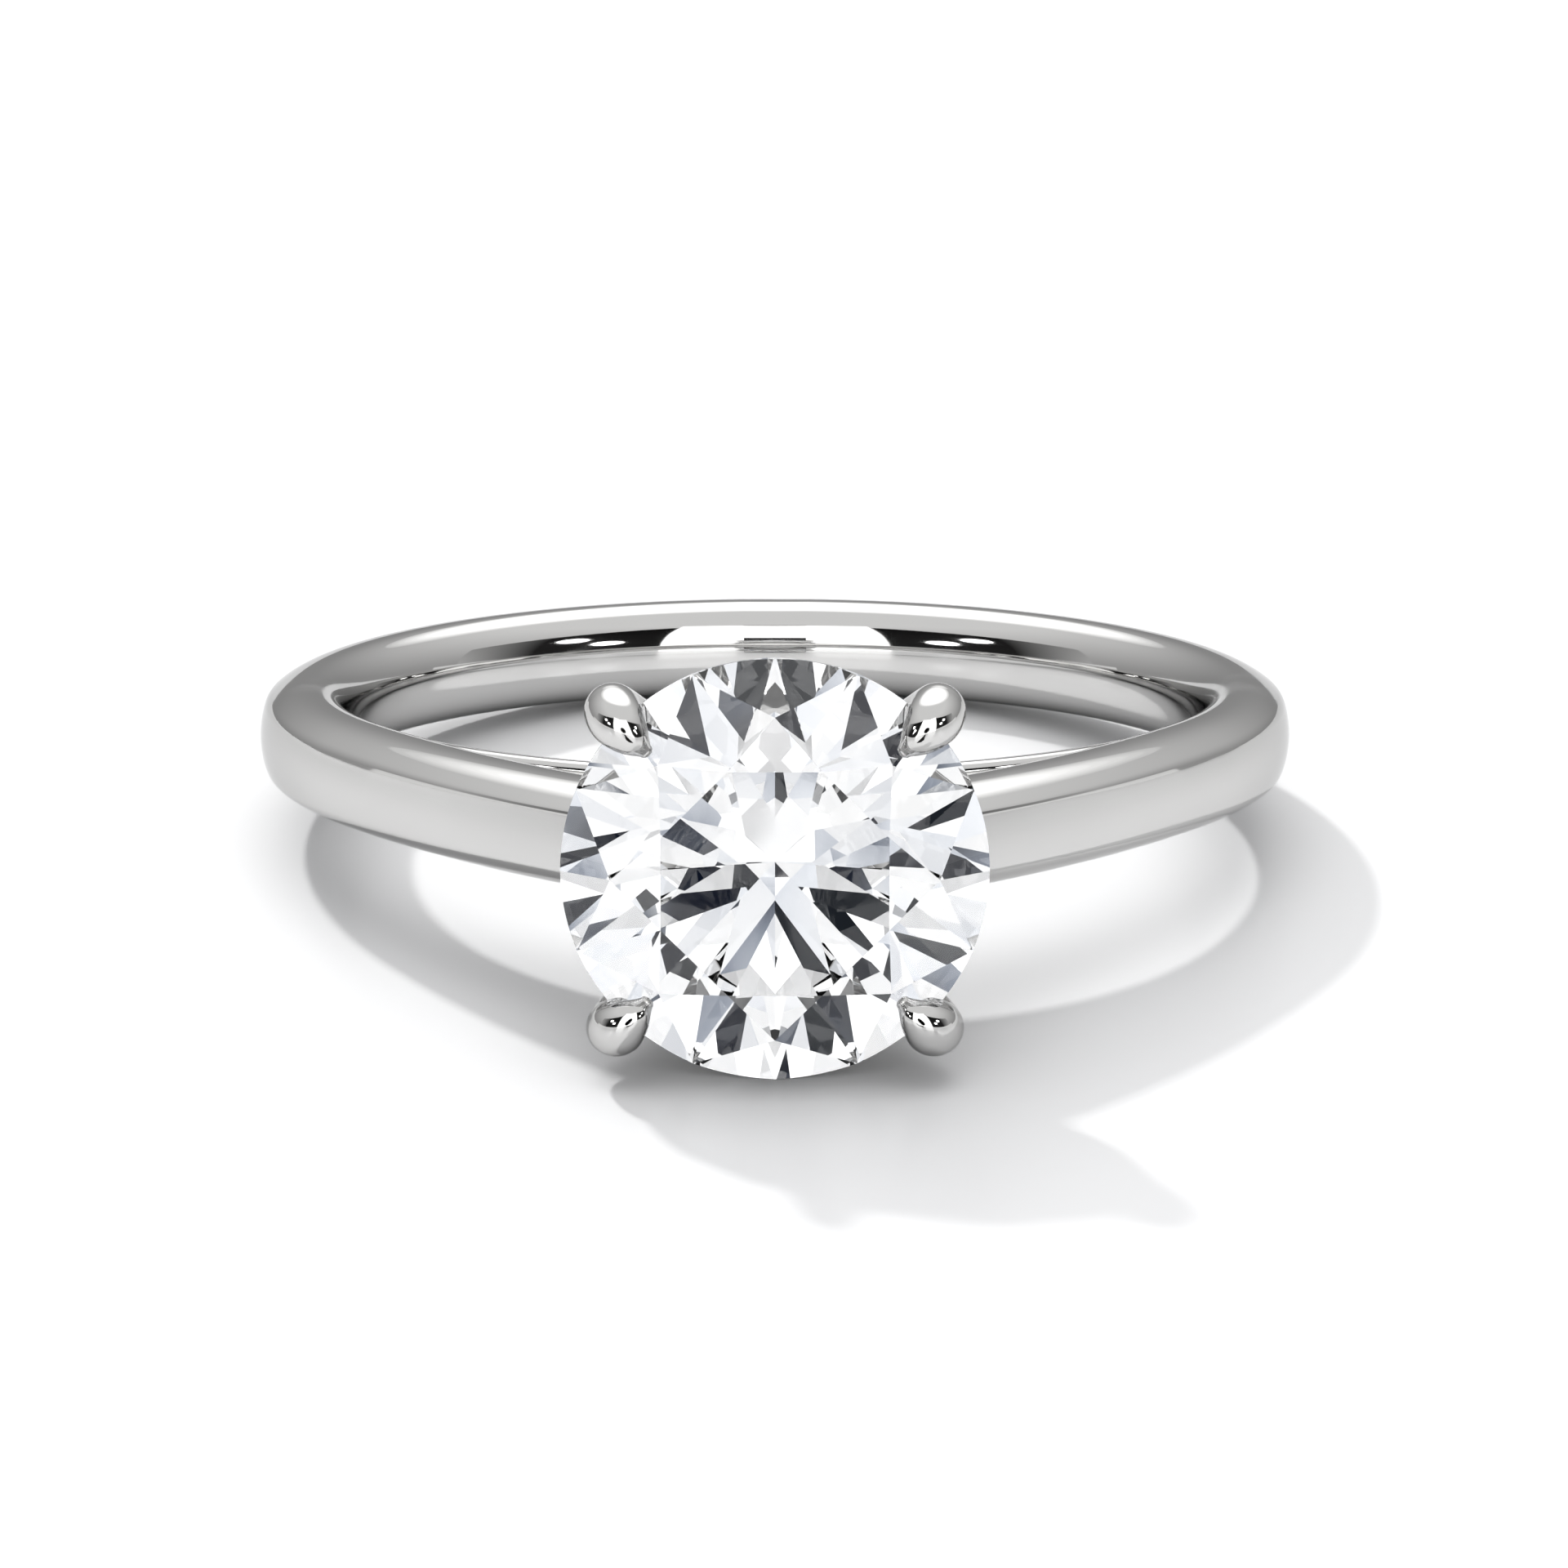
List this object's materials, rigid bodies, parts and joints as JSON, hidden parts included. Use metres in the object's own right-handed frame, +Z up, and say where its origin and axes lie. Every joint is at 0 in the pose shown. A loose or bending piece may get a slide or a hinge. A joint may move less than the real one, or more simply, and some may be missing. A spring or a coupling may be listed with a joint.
{
  "type": "engagement ring",
  "caption": "Cathedral solitaire finger ring: a polished white metal band whose shoulders rise to a pronged head that holds a round brilliant stone.",
  "frame": {"origin": "on the table surface under the middle of the ring's bounding box, as it lies on the edge of its stone and the back of its band", "axes": "+Z up from the table; -Y towards the head and its stone, +Y towards the back of the band; +X to the right, seen facing the stone; the ring is symmetric about X = 0"},
  "size_m": [0.02, 0.0244, 0.0074],
  "materials": {
    "white_metal": "mirror-polished rhodium-plated white gold",
    "stone": "polished diamond facets"
  },
  "bodies": {
    "root": {"shank_left": "white_metal", "shank_right": "white_metal", "sizing_piece": "white_metal", "finger_bridge": "white_metal", "head_base": "white_metal", "head_peg": "white_metal", "gallery_rail": "white_metal", "prong_upper_left": "white_metal", "prong_upper_right": "white_metal", "prong_lower_left": "white_metal", "prong_lower_right": "white_metal", "diamond": "stone"}
  },
  "joints": []
}
